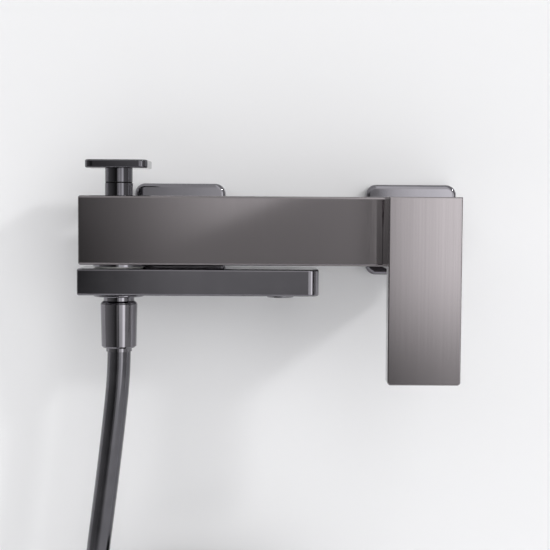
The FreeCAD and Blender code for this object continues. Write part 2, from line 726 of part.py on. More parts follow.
def make_lever():
    """The spindle that rocks on the pin, the hollow handle on it, and its grub screw and cap."""
    stem = block("lever_stem_block",
                 ("lever_square", "lever_square", f"{STEM_END_D} - {PIVOT_D} + lever_square / 2"),
                 (f"{LEVER_X} - lever_square / 2", f"-{PIVOT_D} + lever_square / 2",
                  "-lever_square / 2"), OUTWARD)
    rod = drill("lever_tail", "lever_tail_radius", f"{PIVOT_D} - {BALL_D}",
                (LEVER_X, f"-{BALL_D}", "0"), OUTWARD)
    ball = doc.addObject("Part::Sphere", "lever_ball")
    bind(ball, "Radius", "lever_ball_radius")
    seat(ball, (LEVER_X, f"-{BALL_D}", "0"), OUTWARD)
    bearing = drill("lever_bearing", "pivot_pin_radius + pivot_play", "lever_square * 2",
                    (f"{LEVER_X} - lever_square", f"-{PIVOT_D}", "0"), ALONG_X)
    node(cut_from("lever_spindle", joined("lever_spindle_solid", [stem, rod, ball]), [bearing]),
         "lever_spindle")
    handle = doc.addObject("PartDesign::Body", "handle_block")
    side = outline(handle, "handle_side", "YZ_Plane", [
        ("-handle_drop", PLATE_BACK_D),
        ("-handle_drop", HANDLE_FRONT_D),
        (BAR_TOP, HANDLE_FRONT_D),
        (BAR_TOP, HUB_TOP_BACK_D),
        ("hub_relief_start", HUB_BACK_D),
        (BAR_UNDER, HUB_BACK_D),
        (BAR_UNDER, PLATE_BACK_D),
    ])
    pad = handle.newObject("PartDesign::Pad", "handle_pad")
    pad.Profile = side
    pad.Midplane = True
    bind(pad, "Length", "handle_width")
    seat(handle, AT_LEVER, OUTWARD)
    front = number(HANDLE_FRONT_D)
    low = -number("handle_drop")
    rounded(handle, "handle_corners", "handle_corner",
            lambda edge: lies_at("y", low)(edge) and runs_along("z")(edge))
    rounded(handle, "handle_rounding", "handle_round", lies_at("z", front))
    cavity = drill("hub_cavity", "hub_cavity_radius", f"{HUB_FLOOR_D} - {HUB_BACK_D} + hub_gap",
                   (LEVER_X, f"-{HUB_BACK_D} + hub_gap", "0"), OUTWARD)
    shell = cut_from("handle_shell", handle, [cavity])
    boss = drill("handle_boss", "boss_radius", f"{HANDLE_FRONT_D} - {BOSS_D} - handle_skin / 2",
                 (LEVER_X, f"-{BOSS_D}", "0"), OUTWARD)
    socket = block("handle_socket", ("lever_square", "lever_square", f"{STEM_END_D} - {BOSS_D}"),
                   (f"{LEVER_X} - lever_square / 2", f"-{BOSS_D}", "-lever_square / 2"), OUTWARD)
    grub_way = drill("grub_way", "grub_radius", "bar_height / 2 - lever_square / 2",
                     (LEVER_X, f"-{GRUB_D}", BAR_UNDER))
    cap_way = drill("cap_way", "cap_radius", "cap_thickness", (LEVER_X, f"-{GRUB_D}", BAR_UNDER))
    node(cut_from("lever_handle", joined("handle_solid", [shell, boss]),
                  [socket, grub_way, cap_way]), "lever_handle")
    hex_key = doc.addObject("Part::Prism", "grub_key")
    hex_key.Polygon = 6
    bind(hex_key, "Circumradius", "grub_radius / 2")
    bind(hex_key, "Height", "grub_length / 2")
    grub_low = "(-lever_square / 2 - grub_length)"
    seat(hex_key, (LEVER_X, f"-{GRUB_D}", grub_low))
    node(cut_from("grub_screw", drill("grub_blank", "grub_radius", "grub_length",
                                      (LEVER_X, f"-{GRUB_D}", grub_low)), [hex_key]), "grub_screw")
    node(drill("screw_cap", "cap_radius", "cap_thickness",
               (LEVER_X, f"-{GRUB_D}", BAR_UNDER)), "screw_cap")


def make_bonnet():
    """The screwed bonnet that guides the diverter rod, with its two rod seals."""
    bore = "(rod_radius + rod_play)"
    groove = "(rod_radius + rod_seal_width)"
    low_groove = f"({BONNET_UNDER} + rod_seal_height)"
    high_groove = f"({BAR_TOP} + rod_seal_height)"
    node(turned("diverter_bonnet", [
        (bore, BONNET_UNDER),
        ("bonnet_thread_radius", BONNET_UNDER),
        ("bonnet_thread_radius", BAR_TOP),
        ("bonnet_collar_radius", BAR_TOP),
        ("bonnet_collar_radius", f"{COLLAR_TOP} - nut_chamfer / 2"),
        ("bonnet_collar_radius - nut_chamfer / 2", COLLAR_TOP),
        (bore, COLLAR_TOP),
        (bore, f"{high_groove} + rod_seal_height"),
        (groove, f"{high_groove} + rod_seal_height"),
        (groove, high_groove),
        (bore, high_groove),
        (bore, f"{low_groove} + rod_seal_height"),
        (groove, f"{low_groove} + rod_seal_height"),
        (groove, low_groove),
        (bore, low_groove),
    ], AT_OUTLET), "diverter_bonnet")
    rings = [tube(f"rod_seal_{index}", groove, bore, level, f"{level} + rod_seal_height", AT_OUTLET)
             for index, level in enumerate((low_groove, high_groove), 1)]
    node(grouped("rod_seals", rings), "rod_seals")


def make_diverter():
    """The square pull knob, its rod, and the piston that lifts from one seat to the other."""
    plate = padded("knob_plate", square("knob_width"), "knob_thickness",
                   (OUTLET_X, BAR_Y, KNOB_UNDER))
    rounded(plate, "knob_corners", "knob_corner", runs_along("z"))
    top = number("knob_thickness")
    rounded(plate, "knob_rims", "knob_round",
            lambda edge: lies_at("z", top)(edge) or lies_at("z", 0)(edge))
    boss = drill("knob_boss", "knob_boss_radius", "knob_boss_height + knob_thickness / 2",
                 (OUTLET_X, BAR_Y, KNOB_BOSS_UNDER))
    rod_way = drill("knob_rod_way", "rod_radius", "knob_boss_height",
                    (OUTLET_X, BAR_Y, KNOB_BOSS_UNDER))
    node(cut_from("diverter_knob", joined("knob_solid", [plate, boss]), [rod_way]),
         "diverter_knob")
    shoulder = f"({LOWER_SEAT} + {PISTON_HEIGHT})"
    step = f"({BONNET_UNDER} - upper_chamber)"
    rod_end = f"({LOWER_SEAT} - piston_nut_height)"
    node(turned("diverter_rod", [
        ("0", rod_end),
        ("rod_tip_radius", rod_end),
        ("rod_tip_radius", shoulder),
        ("rod_tip_radius + seat_lip / 2", shoulder),
        ("rod_tip_radius + seat_lip / 2", f"{step} - valve_lift / 3"),
        ("rod_radius", f"{step} - valve_lift / 3 + seat_lip"),
        ("rod_radius", KNOB_UNDER),
        ("0", KNOB_UNDER),
    ], AT_OUTLET), "diverter_rod")
    disc_low = f"({LOWER_SEAT} + piston_seal)"
    disc_high = f"({disc_low} + piston_disc)"
    node(tube("piston_disc", "piston_radius - seat_lip / 2", "rod_tip_radius", disc_low, disc_high,
              AT_OUTLET), "piston_disc")
    washers = [tube("piston_seal_low", "piston_radius", "rod_tip_radius", LOWER_SEAT, disc_low,
                    AT_OUTLET),
               tube("piston_seal_high", "piston_radius", "rod_tip_radius", disc_high,
                    f"{disc_high} + piston_seal", AT_OUTLET)]
    node(grouped("piston_seals", washers), "piston_seals")
    node(tube("piston_nut", "piston_nut_radius", "rod_tip_radius", rod_end, LOWER_SEAT, AT_OUTLET),
         "piston_nut")


def make_outlet():
    """The valve seat tube, outlet post, swivel collar, thrust washer, flange and check valve."""
    node(turned("valve_seat_tube", [
        ("seat_tube_bore", SEAT_TUBE_UNDER),
        ("seat_tube_radius", SEAT_TUBE_UNDER),
        ("seat_tube_radius", POST_TOP),
        ("chamber_radius - rotor_play", POST_TOP),
        ("chamber_radius - rotor_play", SEAT_FLANGE_TOP),
        ("seat_tube_radius", SEAT_FLANGE_TOP),
        ("seat_tube_radius - seat_lip / 2", LOWER_SEAT),
        ("seat_tube_bore", LOWER_SEAT),
    ], AT_OUTLET), "valve_seat_tube")
    annulus_end = f"({SPOUT_MID} - spout_port_radius)"
    valve_pocket = f"({POST_UNDER} + check_valve_length)"
    groove_reach = "(post_thread_radius - seat_lip)"
    post = turned("post_blank", [
        ("annulus_radius", POST_TOP),
        ("post_thread_radius", POST_TOP),
        ("post_thread_radius", f"{FEED_LEVEL} + cross_way_radius"),
        (groove_reach, f"{FEED_LEVEL} + cross_way_radius"),
        (groove_reach, f"{FEED_LEVEL} - cross_way_radius"),
        ("post_thread_radius", f"{FEED_LEVEL} - cross_way_radius"),
        ("post_thread_radius", BAR_UNDER),
        ("post_radius", BAR_UNDER),
        ("post_radius", FLANGE_UNDER),
        ("neck_radius", FLANGE_UNDER),
        ("neck_radius", NECK_UNDER),
        ("stop_radius", f"{STOP_UNDER} + nut_chamfer / 4"),
        ("stop_radius", STOP_UNDER),
        ("outlet_thread_radius", STOP_UNDER),
        ("outlet_thread_radius", f"{POST_UNDER} + nut_chamfer"),
        ("outlet_thread_radius - nut_chamfer", POST_UNDER),
        ("check_valve_radius", POST_UNDER),
        ("check_valve_radius", valve_pocket),
        ("post_bore", valve_pocket),
        ("post_bore", annulus_end),
        ("annulus_radius", annulus_end),
    ], AT_OUTLET)
    ports = []
    for level, radius, name in ((SPOUT_MID, "spout_port_radius", "spout"),
                                (FEED_LEVEL, "cross_way_radius", "feed")):
        ports.append(drill(f"{name}_port_across", radius, "2 * post_thread_radius",
                           (f"{OUTLET_X} - post_thread_radius", BAR_Y, level), ALONG_X))
        ports.append(drill(f"{name}_port_through", radius, "2 * post_thread_radius",
                           (OUTLET_X, f"{BAR_Y} + post_thread_radius", level), OUTWARD))
    node(cut_from("outlet_post", post, ports), "outlet_post")
    inner = "(post_radius + thread_play)"
    node(turned("swivel_collar", [
        (inner, COLLAR_UNDER),
        ("collar_radius", COLLAR_UNDER),
        ("collar_radius", BAR_UNDER),
        (inner, BAR_UNDER),
    ], AT_OUTLET), "swivel_collar")
    node(tube("thrust_washer", "collar_radius - nut_chamfer", inner, THRUST_UNDER, COLLAR_UNDER,
              AT_OUTLET), "thrust_washer")
    node(turned("spout_flange", [
        (inner, FLANGE_UNDER),
        ("collar_radius - nut_chamfer / 2", FLANGE_UNDER),
        ("collar_radius", f"{FLANGE_UNDER} + nut_chamfer / 2"),
        ("collar_radius", f"{FLANGE_TOP} - nut_chamfer / 2"),
        ("collar_radius - nut_chamfer / 2", FLANGE_TOP),
        (inner, FLANGE_TOP),
    ], AT_OUTLET), "spout_flange")
    node(turned("check_valve", [
        ("seat_tube_bore - seat_lip", POST_UNDER),
        ("check_valve_radius", POST_UNDER),
        ("check_valve_radius", valve_pocket),
        ("seat_tube_bore", valve_pocket),
        ("seat_tube_bore", f"{POST_UNDER} + check_valve_length / 3"),
        ("seat_tube_bore - seat_lip", f"{POST_UNDER} + check_valve_length / 3"),
    ], AT_OUTLET), "check_valve")


def make_spout():
    """The flat swivel spout with its hub bore, seals and aerator, along the wall at rest."""
    bar = doc.addObject("PartDesign::Body", "spout_block")
    plan = outline(bar, "spout_plan", "XY_Plane",
                   rectangle("-spout_back", "spout_reach", "-spout_width / 2", "spout_width / 2"))
    pad = bar.newObject("PartDesign::Pad", "spout_pad")
    pad.Profile = plan
    bind(pad, "Length", "spout_thickness")
    tip = number("spout_reach")
    rounded(bar, "spout_tip_corners", "spout_corner",
            lambda edge: runs_along("z")(edge) and lies_at("x", tip)(edge))
    back = number("-spout_back")
    top = number("spout_thickness")
    rounded(bar, "spout_rims", "spout_round",
            lambda edge: lies_at("z", top)(edge) or lies_at("z", 0)(edge)
            or lies_at("x", back)(edge))
    hub = "(post_radius + swivel_play)"
    groove = "(post_radius + spout_seal_width)"
    low_seal = "(spout_thickness / 8)"
    high_seal = "(spout_thickness - spout_thickness / 8 - spout_seal_height)"
    port_low = "(spout_thickness / 2 - port_groove_height / 2)"
    port_high = "(spout_thickness / 2 + port_groove_height / 2)"
    port_reach = "(post_radius + port_groove_depth)"
    bore = turned("spout_bore", [
        ("0", "0"),
        (hub, "0"),
        (hub, low_seal),
        (groove, low_seal),
        (groove, f"{low_seal} + spout_seal_height"),
        (hub, f"{low_seal} + spout_seal_height"),
        (hub, port_low),
        (port_reach, port_low),
        (port_reach, port_high),
        (hub, port_high),
        (hub, high_seal),
        (groove, high_seal),
        (groove, f"{high_seal} + spout_seal_height"),
        (hub, f"{high_seal} + spout_seal_height"),
        (hub, "spout_thickness"),
        ("0", "spout_thickness"),
    ], ("0", "0", "0"))
    aerator_x = "(spout_reach - aerator_inset)"
    way = drill("spout_way", "spout_way_radius", aerator_x, ("0", "0", "spout_thickness / 2"), ALONG_X)
    pit = drill("aerator_pit", "aerator_radius", "aerator_height", (aerator_x, "0", "0"))
    shell = cut_from("spout_bar", bar, [bore, way, pit])
    rings = [tube(f"spout_seal_{index}", groove, hub, level, f"{level} + spout_seal_height",
                  ("0", "0", "0")) for index, level in enumerate((low_seal, high_seal), 1)]
    seals = grouped("spout_rings", rings)
    inner = "(aerator_radius - aerator_wall)"
    housing = turned("aerator_body", [
        (inner, "-aerator_stand"),
        ("aerator_radius - aerator_wall / 2", "-aerator_stand"),
        ("aerator_radius", "-aerator_stand / 2"),
        ("aerator_radius", "aerator_height"),
        (inner, "aerator_height"),
    ], (aerator_x, "0", "0"))
    insert = tube("aerator_core", inner, "aerator_hole", "0", "aerator_height - aerator_wall",
                  (aerator_x, "0", "0"))
    for ring in (1, 2):
        hole_ring(insert, f"aerator_ring_{ring}", "aerator_hole", f"{ring} * aerator_ring_step",
                  "aerator_height", 6 * ring)
    for piece, label in ((shell, "spout_shell"), (seals, "spout_seals"),
                         (housing, "aerator_housing"), (insert, "aerator_insert")):
        carrier = grouped(label + "_placed", [piece])
        seat(carrier, (OUTLET_X, BAR_Y, SPOUT_UNDER))
        node(carrier, label)


def fitting_profile(top):
    """The hose nut's turned profile below a level, from its thread to its narrow end."""
    thread = "(outlet_thread_radius + thread_play)"
    seal_bore = "(outlet_thread_radius - nut_chamfer / 4)"
    throat = "(ferrule_radius + rotor_play)"
    seal = f"({top} - outlet_thread_length)"
    shelf = f"({seal} - hose_washer_thickness - insert_flange)"
    under = f"({top} - hose_nut_length)"
    return [
        (thread, top),
        ("hose_nut_radius - hose_nut_chamfer", top),
        ("hose_nut_radius", f"{top} - hose_nut_chamfer"),
        ("hose_nut_tip_radius + nut_chamfer / 2", f"{under} + nut_chamfer"),
        ("hose_nut_tip_radius - nut_chamfer / 2", under),
        (throat, under),
        (throat, shelf),
        (seal_bore, shelf),
        (seal_bore, seal),
        (thread, seal),
    ]


def make_fitting(prefix, top, place, turn):
    """A hose end: conical nut, rubber washer, flanged insert and crimped ferrule."""
    seal = f"({top} - outlet_thread_length)"
    flange = f"({seal} - hose_washer_thickness)"
    shelf = f"({flange} - insert_flange)"
    under = f"({top} - hose_nut_length - ferrule_stand)"
    node(turned(f"{prefix}_nut", fitting_profile(top), place, turn), f"{prefix}_nut")
    node(tube(f"{prefix}_washer", "outlet_thread_radius - nut_chamfer / 2", "insert_bore", flange, seal,
              place, turn), f"{prefix}_washer")
    node(turned(f"{prefix}_insert", [
        ("insert_bore", under),
        ("insert_radius", under),
        ("insert_radius", shelf),
        ("outlet_thread_radius - nut_chamfer / 2", shelf),
        ("outlet_thread_radius - nut_chamfer / 2", flange),
        ("insert_bore", flange),
    ], place, turn), f"{prefix}_insert")
    node(tube(f"{prefix}_ferrule", "ferrule_radius", "insert_radius", under, shelf, place, turn),
         f"{prefix}_ferrule")


def rounded_path(points):
    """Straight runs joined by tangent arcs, each as large as its two runs allow."""
    edges = []
    radii = []
    at = points[0]
    for before, corner, after in zip(points, points[1:], points[2:]):
        arriving = (corner - before).normalize()
        leaving = (after - corner).normalize()
        half_turn = arriving.getAngle(leaving) / 2
        reach = 0.45 * min((corner - before).Length, (after - corner).Length)
        radius = reach / math.tan(half_turn)
        first = corner - arriving * reach
        last = corner + leaving * reach
        inward = (leaving - arriving).normalize()
        middle = corner + inward * (radius / math.cos(half_turn) - radius)
        edges.append(Part.LineSegment(at, first).toShape())
        edges.append(Part.Arc(first, middle, last).toShape())
        radii.append(radius)
        at = last
    edges.append(Part.LineSegment(at, points[-1]).toShape())
    return Part.Wire(edges), radii


def make_hose():
    """The shower hose: its hanging run, its tied coil, the coil's tail and the far fitting."""
    outlet = FreeCAD.Vector(number(OUTLET_X), number(BAR_Y), number(FERRULE_UNDER))
    route = [FreeCAD.Vector(*offset) + outlet for offset in HOSE_ROUTE]
    path, radii = rounded_path(route)
    radius = number("hose_diameter") / 2
    ring = Part.Wire([Part.Circle(route[0], route[1] - route[0], radius).toShape()])
    run = path.makePipeShell([ring], True, False)
    print("hose run: length %.1f mm, radii %s mm, volume ratio %.5f" % (
        path.Length, [round(each) for each in radii],
        run.Volume / (math.pi * radius ** 2 * path.Length)))
    hose = doc.addObject("Part::Feature", "hose_run")
    hose.Shape = run
    node(hose, "hose_run")
    entry = [f"{OUTLET_X} + {HOSE_ROUTE[-1][0]}", f"{BAR_Y} + {HOSE_ROUTE[-1][1]}",
             f"{FERRULE_UNDER} + {HOSE_ROUTE[-1][2]}"]
    centre = (f"{entry[0]} + coil_diameter / 2", entry[1], entry[2])
    coil_back = "-(coil_turns * hose_diameter + hose_diameter / 2)"
    inner = "(coil_diameter / 2 - hose_diameter / 2)"
    outer = "(coil_diameter / 2 + hose_diameter / 2)"
    corner = "(hose_diameter / 4)"
    node(turned("hose_coil", [
        (f"{inner} + {corner}", coil_back),
        (f"{outer} - {corner}", coil_back),
        (outer, f"{coil_back} + {corner}"),
        (outer, f"hose_diameter / 2 - {corner}"),
        (f"{outer} - {corner}", "hose_diameter / 2"),
        (f"{inner} + {corner}", "hose_diameter / 2"),
        (inner, f"hose_diameter / 2 - {corner}"),
        (inner, f"{coil_back} + {corner}"),
    ], centre, OUTWARD), "hose_coil")
    tail_y = f"{entry[1]} + coil_turns * hose_diameter"
    node(drill("hose_tail", "hose_diameter / 2", "tail_length",
               (entry[0], tail_y, f"{entry[2]} - tail_length")), "hose_tail")
    tie_reach = "(coil_turns * hose_diameter + hose_diameter + 2 * tie_play)"
    band = block("tie_band", ("tie_width", f"{tie_reach} + 2 * tie_thickness",
                              "hose_diameter + 2 * tie_play + 2 * tie_thickness"),
                 (f"{centre[0]} - tie_width / 2",
                  f"{centre[1]} - hose_diameter / 2 - tie_play - tie_thickness",
                  f"{centre[2]} + {inner} - tie_play - tie_thickness"))
    hollow = block("tie_hollow", ("tie_width", tie_reach, "hose_diameter + 2 * tie_play"),
                   (f"{centre[0]} - tie_width / 2", f"{centre[1]} - hose_diameter / 2 - tie_play",
                    f"{centre[2]} + {inner} - tie_play"))
    node(cut_from("coil_tie", band, [hollow]), "coil_tie")
    upside = FreeCAD.Rotation(FreeCAD.Vector(1, 0, 0), 180)
    make_fitting("far", "(hose_nut_length + ferrule_stand)",
                 (entry[0], tail_y, f"{entry[2]} - tail_length"), upside)


def main():
    """Builds every sub-part, checks it and writes its STEP file."""
    make_mixer_body()
    make_inlet("-1", "hot")
    make_inlet("1", "cold")
    make_cartridge()
    make_rotor()
    make_moving_disc()
    make_lever()
    make_bonnet()
    make_diverter()
    make_outlet()
    make_spout()
    make_fitting("hose", STOP_UNDER, AT_OUTLET, UPRIGHT)
    make_hose()
    doc.recompute()
    for thing in doc.Objects:
        if {"Invalid", "Error"} & set(thing.State):
            raise RuntimeError(f"{thing.Name} failed: {thing.State}")
    for each in nodes:
        shape = each.Shape
        if shape.isNull() or not shape.isValid() or not shape.Solids:
            raise RuntimeError(f"{each.Label} has no sound shape")
    os.makedirs("parts", exist_ok=True)
    for each in nodes:
        each.Shape.exportStep(os.path.join("parts", each.Label + ".step"))
    print(len(nodes), "nodes written")


main()
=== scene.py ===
import math

import bmesh
import bpy
from mathutils import Matrix, Vector


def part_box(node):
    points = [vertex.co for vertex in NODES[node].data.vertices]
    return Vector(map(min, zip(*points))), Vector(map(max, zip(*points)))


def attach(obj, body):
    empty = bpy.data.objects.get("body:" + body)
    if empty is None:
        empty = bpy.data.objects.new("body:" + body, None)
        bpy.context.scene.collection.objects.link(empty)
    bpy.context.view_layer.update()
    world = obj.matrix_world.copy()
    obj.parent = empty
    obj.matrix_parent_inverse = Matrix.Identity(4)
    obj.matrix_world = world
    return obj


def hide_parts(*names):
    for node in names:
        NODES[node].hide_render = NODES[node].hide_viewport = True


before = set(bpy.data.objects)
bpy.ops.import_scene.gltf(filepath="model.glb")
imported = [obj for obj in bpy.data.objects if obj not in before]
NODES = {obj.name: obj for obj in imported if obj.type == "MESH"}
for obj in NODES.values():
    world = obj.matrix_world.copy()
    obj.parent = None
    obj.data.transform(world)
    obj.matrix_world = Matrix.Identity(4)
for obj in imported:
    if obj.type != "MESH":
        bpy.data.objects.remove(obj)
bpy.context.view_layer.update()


# ---------------------------------------------------------------- camera

CAMERA_PLACE = (-0.0204, -0.8382, 0.0170)
CAMERA_YAW, CAMERA_PITCH, CAMERA_ROLL = 0.50, -3.24, 0.35    # degrees
CAMERA_LENS = 83.24
SENSOR_WIDTH = 36.0


def make_camera():
    """The camera stands level with the bar, a little left of its middle, and looks slightly down."""
    data = bpy.data.cameras.new("camera")
    data.sensor_width = SENSOR_WIDTH
    data.lens = CAMERA_LENS
    camera = bpy.data.objects.new("camera", data)
    turn = Matrix.Rotation(math.radians(-CAMERA_YAW), 4, "Z")
    turn = turn @ Matrix.Rotation(math.radians(90 + CAMERA_PITCH), 4, "X")
    turn = turn @ Matrix.Rotation(math.radians(CAMERA_ROLL), 4, "Z")
    camera.matrix_world = Matrix.Translation(CAMERA_PLACE) @ turn
    bpy.context.scene.collection.objects.link(camera)
    bpy.context.scene.camera = camera


# ---------------------------------------------------------------- helpers for meshes

def join_rows(mesh, rows, smooth=False):
    """Faces from each row of vertices to the next, each row being a closed outline."""
    for here, there in zip(rows, rows[1:]):
        for index in range(len(here)):
            after = (index + 1) % len(here)
            face = mesh.faces.new((here[index], there[index], there[after], here[after]))
            face.smooth = smooth


def add_object(name, mesh, material):
    """Turn a finished bmesh into an object of the scene."""
    data = bpy.data.meshes.new(name)
    mesh.to_mesh(data)
    mesh.free()
    data.materials.append(material)
    made = bpy.data.objects.new(name, data)
    bpy.context.scene.collection.objects.link(made)
    return made


# ---------------------------------------------------------------- shower hose

HOSE_DIAMETER = 0.0145
HOSE_EXIT = Vector((-0.1104, -0.049, -0.07555))
HOSE_ROUTE = (                     # steps from the exit, in metres
    (0.0, 0.0, 0.0),
    (0.0, 0.0, -0.0140),
    (-0.0035, -0.0005, -0.0480),
    (-0.0087, -0.0016, -0.0920),
    (-0.0136, -0.0032, -0.1300),
    (-0.0172, -0.0054, -0.1740),
    (-0.0182, -0.0070, -0.2222),
)
HOSE_CURVE_STEPS = 8
HOSE_BEVEL_STEPS = 6
COIL_CENTRE = Vector((-0.0571, 0.0, -0.29775))
COIL_RADIUS = 0.0715
COIL_TURNS = 3
COIL_STEPS = 16                    # control points in each turn
COIL_FRONT, COIL_BACK = -0.056, -0.0125
TAIL_END = Vector((-0.1286, -0.0125, -0.34975))


def coil_points():
    """Control points of the hanging coil, from its leftmost point down, and back towards the wall."""
    # a quadratic curve runs inside its control points, so they stand this much further out
    swell = 1 / (0.75 + 0.25 * math.cos(2 * math.pi / COIL_STEPS))
    reach = COIL_RADIUS * swell
    points = []
    for step in range(1, COIL_TURNS * COIL_STEPS):
        share = step / (COIL_TURNS * COIL_STEPS)
        angle = math.pi + 2 * math.pi * COIL_TURNS * share
        depth = COIL_FRONT + share * (COIL_BACK - COIL_FRONT)
        points.append(COIL_CENTRE + Vector((reach * math.cos(angle), depth, reach * math.sin(angle))))
    return points


def make_hose(material, strap):
    """One smooth curve: down from the mixer, round the tied coil, and down to the end fitting."""
    route = [HOSE_EXIT + Vector(step) for step in HOSE_ROUTE]
    route += coil_points()
    route.append(Vector((TAIL_END.x, TAIL_END.y, COIL_CENTRE.z)))
    route.append(TAIL_END)
    data = bpy.data.curves.new("shower_hose", "CURVE")
    data.dimensions = "3D"
    data.bevel_depth = HOSE_DIAMETER / 2
    data.bevel_resolution = HOSE_BEVEL_STEPS
    data.resolution_u = HOSE_CURVE_STEPS
    data.use_fill_caps = True
    spline = data.splines.new("NURBS")
    spline.points.add(len(route) - 1)
    for point, place in zip(spline.points, route):
        point.co = (*place, 1.0)
    spline.order_u = 3
    spline.use_endpoint_u = True
    data.materials.append(material)
    hose = bpy.data.objects.new("shower_hose", data)
    bpy.context.scene.collection.objects.link(hose)
    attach(hose, "mixer")
    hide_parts("hose_run", "hose_coil", "hose_tail")


# ---------------------------------------------------------------- strap round the coil

STRAP_WIDTH = 0.012
STRAP_THICKNESS = 0.0011
STRAP_EDGE = 0.0003                # bevel along its edges
STRAP_PLAY = 0.0003                # between the strap and the hose
STRAP_LAP = 1.22                   # times round, so that the end laps over the start
STRAP_CLIMB_START = 0.97           # where it starts to climb over its own start
STRAP_CLIMB = 0.03
STRAP_LAP_GAP = 0.0001
STRAP_STEPS = 150
TURNS_TO_TOP = 0.75                # the coil starts at its left and goes down, so it is at the top here


def strap_place(along, first, last, reach):
    """Depth, height and outward direction at a share of the way round, from the top's middle."""
    flat, bend = last - first, math.pi * reach
    whole = 2 * flat + 2 * bend
    run = (along % 1.0) * whole + flat / 2
    if run >= whole:
        run -= whole
    if run < flat:
        return first + run, reach, 0.0, 1.0
    run -= flat
    if bend <= run < bend + flat:
        return last - (run - bend), -reach, 0.0, -1.0
    if run < bend:
        centre, turn = last, math.pi / 2 - run / reach
    else:
        centre, turn = first, -math.pi / 2 - (run - bend - flat) / reach
    out_y, out_z = math.cos(turn), math.sin(turn)
    return centre + reach * out_y, reach * out_z, out_y, out_z


def make_strap(material):
    """The hook and loop strap round the coil's three turns, with its end lapped over on top."""
    spacing = (COIL_BACK - COIL_FRONT) / COIL_TURNS
    first = COIL_CENTRE.y + COIL_FRONT + TURNS_TO_TOP * spacing
    last = first + (COIL_TURNS - 1) * spacing
    reach = HOSE_DIAMETER / 2 + STRAP_PLAY
    half, thick, edge = STRAP_WIDTH / 2, STRAP_THICKNESS, STRAP_EDGE
    profile = (
        (-half, edge), (-half + edge, 0.0), (half - edge, 0.0), (half, edge),
        (half, thick - edge), (half - edge, thick), (-half + edge, thick), (-half, thick - edge),
    )
    mesh = bmesh.new()
    rows = []
    for step in range(STRAP_STEPS + 1):
        along = STRAP_LAP * step / STRAP_STEPS
        y, z, out_y, out_z = strap_place(along, first, last, reach)
        climbed = min(max((along - STRAP_CLIMB_START) / STRAP_CLIMB, 0.0), 1.0)
        lift = climbed * (thick + STRAP_LAP_GAP)
        rows.append([
            mesh.verts.new((
                COIL_CENTRE.x + across,
                y + (height + lift) * out_y,
                COIL_CENTRE.z + COIL_RADIUS + z + (height + lift) * out_z,
            ))
            for across, height in profile
        ])
    join_rows(mesh, rows)
    mesh.faces.new(rows[0][::-1])
    mesh.faces.new(rows[-1])
    bmesh.ops.recalc_face_normals(mesh, faces=mesh.faces)
    strap = add_object("coil_strap", mesh, material)
    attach(strap, "mixer")
    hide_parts("coil_tie")
    return strap


# ---------------------------------------------------------------- materials

class Finish:
    """A Principled material with short helpers for its node tree."""

    def __init__(self, name):
        self.material = bpy.data.materials.new(name)
        self.material.use_nodes = True
        self.nodes = self.material.node_tree.nodes
        self.links = self.material.node_tree.links
        self.nodes.clear()
        self.output = self.nodes.new("ShaderNodeOutputMaterial")
        self.shader = self.nodes.new("ShaderNodeBsdfPrincipled")
        self.links.new(self.shader.outputs["BSDF"], self.output.inputs["Surface"])
        self.place = self.nodes.new("ShaderNodeTexCoord").outputs["Object"]

    def constant(self, **values):
        """Numbers and colours that are the same all over, set on the shader itself."""
        for name, value in values.items():
            self.shader.inputs[name.replace("_", " ")].default_value = value

    def noise(self, per_metre, detail=2.0, roughness=0.5):
        """Noise with that many features per metre along X, Y and Z."""
        mapping = self.nodes.new("ShaderNodeMapping")
        mapping.inputs["Scale"].default_value = per_metre
        self.links.new(self.place, mapping.inputs["Vector"])
        texture = self.nodes.new("ShaderNodeTexNoise")
        texture.inputs["Scale"].default_value = 1.0
        texture.inputs["Detail"].default_value = detail
        texture.inputs["Roughness"].default_value = roughness
        self.links.new(mapping.outputs["Vector"], texture.inputs["Vector"])
        return texture.outputs["Fac"]

    def spread(self, value, low, high, start=0.3, stop=0.7):
        """The value's range start..stop mapped to low..high."""
        node = self.nodes.new("ShaderNodeMapRange")
        node.inputs["From Min"].default_value = start
        node.inputs["From Max"].default_value = stop
        node.inputs["To Min"].default_value = low
        node.inputs["To Max"].default_value = high
        self.links.new(value, node.inputs["Value"])
        return node.outputs["Result"]

    def colours(self, value, dark, light, start=0.3, stop=0.7):
        """A colour between dark and light."""
        ramp = self.nodes.new("ShaderNodeValToRGB")
        ramp.color_ramp.elements[0].position = start
        ramp.color_ramp.elements[1].position = stop
        ramp.color_ramp.elements[0].color = (*dark, 1)
        ramp.color_ramp.elements[1].color = (*light, 1)
        self.links.new(value, ramp.inputs["Fac"])
        return ramp.outputs["Color"]

    def bump(self, value, height, under=None):
        """A relief of that height in metres, laid over another one where there is one."""
        node = self.nodes.new("ShaderNodeBump")
        node.inputs["Strength"].default_value = 1.0
        node.inputs["Distance"].default_value = height
        self.links.new(value, node.inputs["Height"])
        if under is not None:
            self.links.new(under, node.inputs["Normal"])
        return node.outputs["Normal"]

    def feed(self, name, value):
        self.links.new(value, self.shader.inputs[name])


# features per metre along X, Y and Z
BROAD_STREAKS = (900, 900, 5)
FINE_STREAKS = (2400, 2400, 30)
PLATING_CLOUDS = (60, 60, 60)
PLATING_GRAIN = (900, 900, 900)
MOULDING_CLOUDS = (90, 90, 90)
WEBBING_FUZZ = (3000, 3000, 3000)
PAINT_GRAIN = (700, 700, 700)

# relief, in metres
STREAK_DEPTH = 0.0000004
FUZZ_DEPTH = 0.00008
RIB_DEPTH = 0.0001
PAINT_DEPTH = 0.00002

